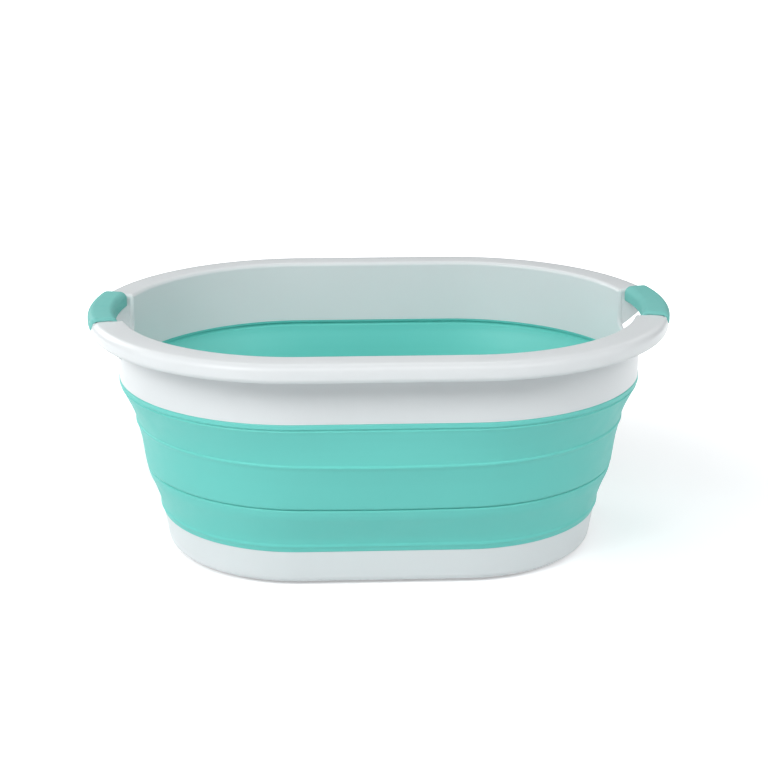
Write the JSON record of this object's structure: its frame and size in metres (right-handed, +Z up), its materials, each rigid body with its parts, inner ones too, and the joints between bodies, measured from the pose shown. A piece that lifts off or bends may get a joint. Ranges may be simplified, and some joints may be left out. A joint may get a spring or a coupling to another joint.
{
  "type": "baby bathtub",
  "caption": "Fold-flat oval baby bathtub with a hard rim frame, soft end grips, a pleated soft wall that collapses in stages, a hard base tray and a pull-out drain plug.",
  "frame": {"origin": "on the ground under the middle of the tub", "axes": "+X along the tub's length towards the end with the drain, +Y across it, +Z up out of the tub's mouth"},
  "size_m": [0.5756, 0.416, 0.2465],
  "materials": {
    "hard_white": "satin moulded polypropylene",
    "soft_teal": "soft-touch thermoplastic elastomer",
    "foot_grey": "matt non-slip elastomer"
  },
  "bodies": {
    "base": {"base_tray": "hard_white", "lower_bead": "soft_teal", "lower_pleat": "soft_teal", "foot_front_left": "foot_grey", "foot_front_right": "foot_grey", "foot_back_left": "foot_grey", "foot_back_right": "foot_grey"},
    "middle": {"middle_band": "soft_teal", "upper_pleat": "soft_teal"},
    "frame": {"upper_frame": "hard_white", "upper_bead": "soft_teal", "left_grip": "soft_teal", "right_grip": "soft_teal"},
    "plug": {"drain_plug": "soft_teal"}
  },
  "joints": [
    {"name": "lower_fold", "type": "slide", "parent": "base", "child": "middle", "axis": [0, 0, 1], "range_m": [-0.082, 0], "deforming": ["lower_pleat"]},
    {"name": "upper_fold", "type": "slide", "parent": "middle", "child": "frame", "axis": [0, 0, 1], "range_m": [-0.082, 0], "deforming": ["upper_pleat"]},
    {"name": "plug_pull", "type": "slide", "parent": "base", "child": "plug", "axis": [0, 0, 1], "range_m": [0, 0.06]}
  ]
}
